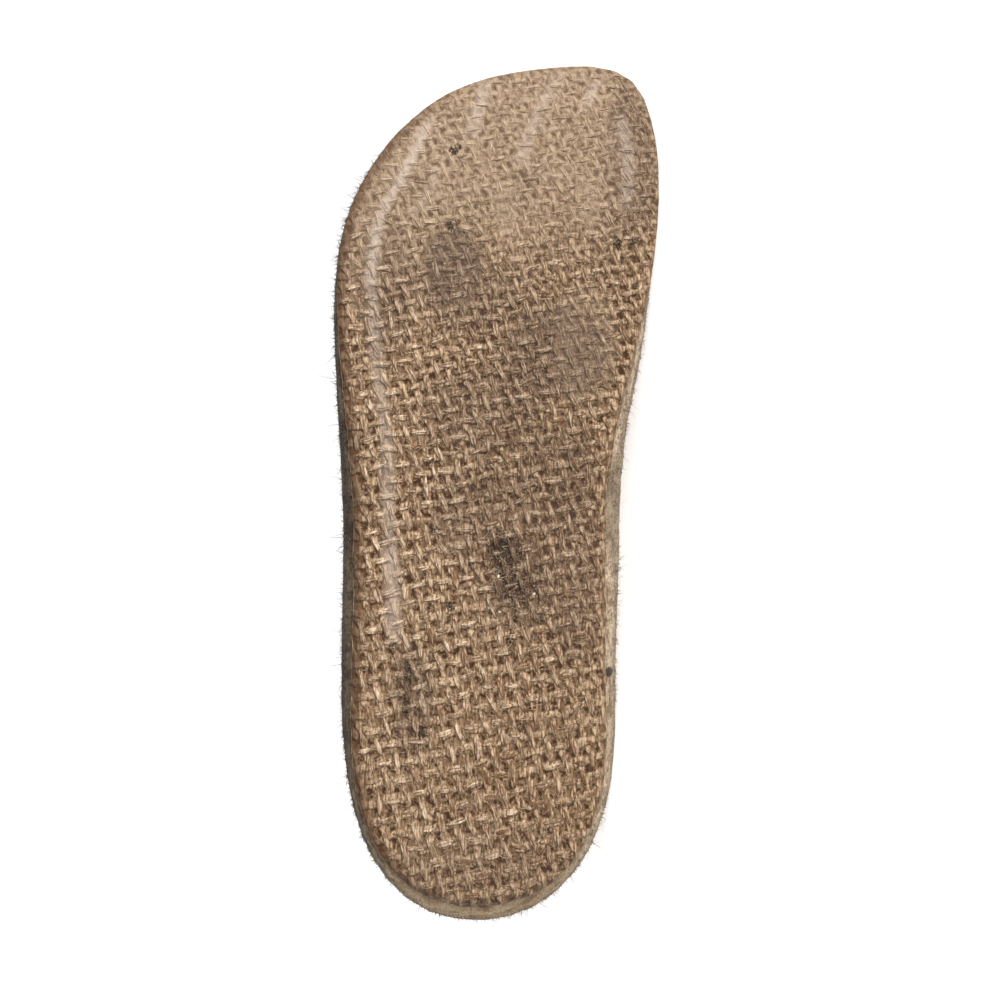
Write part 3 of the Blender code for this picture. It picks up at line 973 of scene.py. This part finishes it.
def float_bundles(kind, tree, edge, sizes, rng):
    """The floats of one kind: middle, facing, direction, length, width, lift and tone of each."""
    points, facing, line, spacing = float_lines(kind, tree, edge, rng)
    count = len(points)
    length = spacing * sizes["reach"] * varied(rng, LENGTH_VARIES, count)
    for end in (-0.5, 0.5):
        tips = points + line * length[:, None] * end
        length = np.where(tread_under(tree, *tips.T[:2])[2], length, length * STUB)
    wear = toe_wear(*points.T[:2])
    width = sizes["width"] * varied(rng, WIDTH_VARIES, count) * (1 - TOE_NARROWER * wear)
    heel = 1 - ease(points[:, 0], *FLOAT_HEEL)
    width = width * (spacing / USUAL_SPACING) ** SPACING_POWER * (1 + sizes["heel"] * heel)
    smooth = patches(*points.T[:2], SMOOTH_PATCHES, 0.0)
    worn = larger(wear * TOE_LOWER, smooth * PATCH_LOWER)
    lift = (1 - worn) * varied(rng, LIFT_VARIES, count)
    tone = rng.normal(*FLOAT_TONE, count)
    return points, facing, line, length, width, lift, tone


def float_strands(bundles, sizes, rng):
    """The strands of all floats: middles, centres and half axes of their rings, rise and tone."""
    points, facing, line, length, width, lift, tone = bundles
    strand = np.repeat(np.arange(len(points)), STRANDS)
    place = np.tile(np.linspace(-1.0, 1.0, STRANDS), len(points))
    count = len(strand)
    points, facing, line = points[strand], facing[strand], line[strand]
    beside = np.cross(facing, line)
    line = unit(line + beside * rng.normal(0.0, STRAND_TURN, count)[:, None])
    beside = np.cross(facing, line)
    length = length[strand] * rng.uniform(*STRAND_LENGTH, count)
    slip = rng.normal(0.0, STRAND_SLIP, count) * length
    aside = place * width[strand] * STRAND_SPACING + rng.normal(0.0, STRAND_STRAY, count)
    points = points + line * slip[:, None]
    steps = np.array(FLOAT_STEPS)
    arch = 1 - steps * steps
    bow = rng.normal(0.0, STRAND_BOW, count)[:, None] * arch
    bow = bow + aside[:, None] * (1 - BUNDLE_TAPER * steps * steps)
    sag = FLOAT_SINK + OUTER_SINK * np.abs(place) + rng.normal(0.0, SINK_STRAY, count)
    rise = sizes["crown"] * arch * lift[strand][:, None] - sag[:, None]
    centres = points[:, None] + line[:, None] * (length[:, None] / 2 * steps)[:, :, None]
    centres = centres + facing[:, None] * rise[:, :, None] + beside[:, None] * bow[:, :, None]
    swell = np.array(FLOAT_SWELL)
    sides = beside[:, None] * (width[strand][:, None] * STRAND_SHARE * swell)[:, :, None]
    ups = facing[:, None] * (sizes["height"] * swell)[None, :, None]
    tone = np.clip(tone[strand] + rng.normal(0.0, STRAND_TONE, count), *TONE_LIMITS)
    return points, centres, sides, ups, rise, tone


def make_floats(name, kind, tree, edge, sizes, material, rng):
    """The floats of the warp or the weft: bundles of strands that rise out of the latex and dive back."""
    bundles = float_bundles(kind, tree, edge, sizes, rng)
    points, centres, sides, ups, rise, tone = float_strands(bundles, sizes, rng)
    mesh = sweep_mesh(name, centres, sides, ups, FLOAT_PROFILE)
    swell = np.array(FLOAT_SWELL)
    height = rise[:, :, None] + sizes["height"] * swell[:, None] * np.sin(np.radians(FLOAT_PROFILE))
    corners = len(FLOAT_STEPS) * len(FLOAT_PROFILE)
    keep_tone(mesh, "height", height)
    keep_tone(mesh, "margin", np.repeat(edge_distance(edge, points), corners))
    keep_tone(mesh, "tone", np.repeat(tone, corners))
    make_piece(name, mesh, material)


def fibre_mesh(name, paths, thickness):
    """One mesh of many thin fibres that taper to their ends."""
    line = unit(np.gradient(paths, axis=1))
    sides = unit(np.cross(line, FIBRE_ASIDE))
    ups = np.cross(sides, line)
    taper = np.interp(np.linspace(0, 1, paths.shape[1]), *FIBRE_TAPER)
    radius = thickness[:, None, None] / 2 * taper[None, :, None]
    return sweep_mesh(name, paths, sides * radius, ups * radius, FIBRE_PROFILE)


def fibre_lengths(rng, spread, count):
    """Mostly short lengths with a few long ones, kept between a least and a most."""
    shape, scale, least, most = spread
    return np.clip(rng.gamma(shape, scale, count), least, most)


def make_wool(name, mesh, material, rng):
    """Loose wool fibres that stand off one piece of felt."""
    points = mesh_points(mesh)
    normals = mesh_normals(mesh)
    height = points[:, 2]
    open_air = (height > WOOL_FOOT) & (np.hypot(normals[:, 0], normals[:, 1]) > WOOL_FACING)
    rim = open_air & (height > RIM_HEIGHTS[0]) & (height < RIM_HEIGHTS[1])
    picked = rng.choice(np.nonzero(open_air)[0], WOOL_FIBRES)
    if rim.any():
        on_rim = rng.random(WOOL_FIBRES) < RIM_FIBRES
        picked = np.where(on_rim, rng.choice(np.nonzero(rim)[0], WOOL_FIBRES), picked)
    first = unit(normals[picked] * WOOL_STAND + rng.normal(0.0, WOOL_SPREAD, (WOOL_FIBRES, 3)))
    bend = rng.normal(0.0, WOOL_CURL, (WOOL_FIBRES, 3))
    length = fibre_lengths(rng, WOOL_LENGTH, WOOL_FIBRES)
    step = np.linspace(0, 1, FIBRE_STEPS)
    paths = first[:, None] * step[None, :, None] + bend[:, None] * (step * step)[None, :, None] * WOOL_BEND
    paths = points[picked][:, None] + paths * length[:, None, None]
    above_floor = to_row(paths.reshape(-1, 3))[:, 2].reshape(WOOL_FIBRES, FIBRE_STEPS)
    clear = (above_floor > FLOOR_GAP * MM).all(axis=1)
    thickness = rng.uniform(*WOOL_THICKNESS, WOOL_FIBRES)
    make_piece(name, fibre_mesh(name, paths[clear], thickness[clear]), material)


def make_jute_fibres(name, tree, material, rng):
    """Fine fibres that have come loose from the yarns and lie on the sole."""
    tries = JUTE_FIBRES * 2
    along = rng.uniform(*JUTE_ALONG, tries)
    across = rng.uniform(*JUTE_ACROSS, tries)
    step = np.linspace(-0.5, 0.5, FIBRE_STEPS)
    turn = rng.choice(JUTE_TURNS, tries) + rng.normal(0.0, JUTE_SWING, tries)
    length = fibre_lengths(rng, JUTE_LENGTH, tries)
    bend = rng.normal(0.0, JUTE_BEND, tries) * length
    runs = length[:, None] * step
    bows = bend[:, None] * (1 - 4 * step * step)
    lines_along = along[:, None] + np.cos(turn)[:, None] * runs - np.sin(turn)[:, None] * bows
    lines_across = across[:, None] + np.sin(turn)[:, None] * runs + np.cos(turn)[:, None] * bows
    points, facing, found = tread_under(tree, lines_along.ravel(), lines_across.ravel())
    lift = np.where(np.abs(step) < JUTE_END, JUTE_LIFT, JUTE_END_LIFT)
    paths = (points + facing * np.tile(lift, tries)[:, None]).reshape(-1, FIBRE_STEPS, 3)
    whole = found.reshape(-1, FIBRE_STEPS).all(axis=1)
    paths = paths[whole][:JUTE_FIBRES]
    thickness = rng.uniform(*JUTE_THICKNESS, len(paths))
    make_piece(name, fibre_mesh(name, paths, thickness), material)


def make_sole(rng):
    """The latex sheet, the floats of its cloth and the loose fibres on it."""
    mesh = fine_mesh("outsole")
    uneven(mesh, "outsole")
    edge = edge_tree(mesh)
    keep_tone(mesh, "side", 1 + mesh_normals(mesh)[:, 2])
    keep_tone(mesh, "margin", edge_distance(edge, mesh_points(mesh)))
    sole = make_piece("outsole_latex", mesh, latex_finish())
    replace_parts(sole, "outsole")
    faces = [tuple(face.vertices) for face in mesh.polygons]
    tree = BVHTree.FromPolygons(mesh_points(mesh).tolist(), faces)
    warp_yarn = yarn_finish("jute_warp_yarn", WARP_TURN)
    make_floats("jute_warp", "warp", tree, edge, WARP_FLOAT, warp_yarn, rng)
    weft_yarn = yarn_finish("jute_weft_yarn", WEFT_TURN)
    make_floats("jute_weft", "weft", tree, edge, WEFT_FLOAT, weft_yarn, rng)
    make_jute_fibres("jute_fibres", tree, fibre_finish("jute_fibre", LOOSE_JUTE, 0.0), rng)


def make_felt(rng):
    """The felt midsole, upper and footbed, and the fibres that stand off them."""
    midsole = fine_mesh("midsole")
    uneven(midsole, "midsole")
    band = felt_finish("pressed_felt", BAND_FELT, BAND_PAINTED_SHADE, (BAND_SPOT,), CUT_SHOWS)
    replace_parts(make_piece("midsole_felt", midsole, band), "midsole")
    upper = fine_mesh("upper")
    crease_upper(upper)
    uneven(upper, "upper")
    dark = felt_finish("upper_felt", UPPER_FELT, UPPER_PAINTED_SHADE)
    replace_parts(make_piece("upper_felt", upper, dark), "upper")
    insole = fine_mesh("insole")
    uneven(insole, "insole")
    bed = felt_finish("footbed_felt", FOOTBED_FELT, 0.0)
    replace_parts(make_piece("insole_felt", insole, bed), "insole")
    wool = fibre_finish("wool_fibre", LOOSE_WOOL, WOOL_PAINTED_SHADE)
    make_wool("midsole_fibres", midsole, wool, rng)
    make_wool("upper_fibres", upper, wool, rng)


def make_floor():
    """A wide white floor, far larger than the picture."""
    mesh = bpy.data.meshes.new("floor")
    half = FLOOR_SIZE * MM / 2
    corners = [(-half, -half, 0), (half, -half, 0), (half, half, 0), (-half, half, 0)]
    mesh.from_pydata(corners, [], [(0, 1, 2, 3)])
    mesh.materials.append(floor_finish())
    floor = bpy.data.objects.new("floor", mesh)
    bpy.context.scene.collection.objects.link(floor)


def make_world():
    """White wall light from behind the shoe and dimmer room light from the front."""
    world = bpy.data.worlds.new("studio")
    world.use_nodes = True
    tree = world.node_tree
    point = tree.nodes.new("ShaderNodeTexCoord")
    split = tree.nodes.new("ShaderNodeSeparateXYZ")
    behind = tree.nodes.new("ShaderNodeMapRange")
    overhead = tree.nodes.new("ShaderNodeMapRange")
    for level, (start, end) in ((behind, WALL_EDGE), (overhead, CEILING_EDGE)):
        level.interpolation_type = "SMOOTHSTEP"
        ends = {"From Min": start, "From Max": end, "To Min": ROOM_LIGHT, "To Max": WALL_LIGHT}
        for key, value in ends.items():
            level.inputs[key].default_value = value
    darker = tree.nodes.new("ShaderNodeMath")
    darker.operation = "MINIMUM"
    tree.links.new(point.outputs["Generated"], split.inputs[0])
    tree.links.new(split.outputs["Y"], behind.inputs["Value"])
    tree.links.new(split.outputs["Z"], overhead.inputs["Value"])
    tree.links.new(behind.outputs[0], darker.inputs[0])
    tree.links.new(overhead.outputs[0], darker.inputs[1])
    tree.links.new(darker.outputs[0], tree.nodes["Background"].inputs["Strength"])
    tree.nodes["Background"].inputs["Color"].default_value = (1.0, 1.0, 1.0, 1.0)
    bpy.context.scene.world = world


def facing_matrix(place, target, upwards):
    """Stands something at a place so that its -Z looks at the target with Y upwards."""
    back = (place - target).normalized()
    up = (upwards - back * upwards.dot(back)).normalized()
    turn = Matrix((up.cross(back), up, back)).transposed().to_4x4()
    return Matrix.Translation(place) @ turn


def make_light():
    """The softbox beyond the toe."""
    light = bpy.data.lights.new("softbox", "AREA")
    light.size = SOFTBOX_SIZE * MM
    light.energy = SOFTBOX_POWER
    softbox = bpy.data.objects.new("softbox", light)
    place = shoe_vector(SOFTBOX_PLACE)
    softbox.matrix_world = facing_matrix(place, shoe_vector(AIM), Vector((0.0, 0.0, 1.0)))
    bpy.context.scene.collection.objects.link(softbox)


def make_camera():
    """The camera below the tread, turned so that the toe points up in the picture."""
    lens = bpy.data.cameras.new("camera")
    place = shoe_vector(EYE)
    target = shoe_vector(AIM)
    lens.sensor_width = SENSOR_WIDTH
    lens.lens = SENSOR_WIDTH * (place - target).length / (SEEN_WIDTH * MM)
    lens.clip_start = NEAREST_SEEN * MM
    camera = bpy.data.objects.new("camera", lens)
    camera.matrix_world = facing_matrix(place, target, POSE.to_3x3() @ Vector((1.0, 0.0, 0.0)))
    bpy.context.scene.collection.objects.link(camera)
    bpy.context.scene.camera = camera


bpy.context.scene.view_settings.view_transform = "Standard"
make_floor()
make_world()
make_light()
make_camera()
make_sole(np.random.default_rng(SOLE_SEED))
make_felt(np.random.default_rng(FELT_SEED))
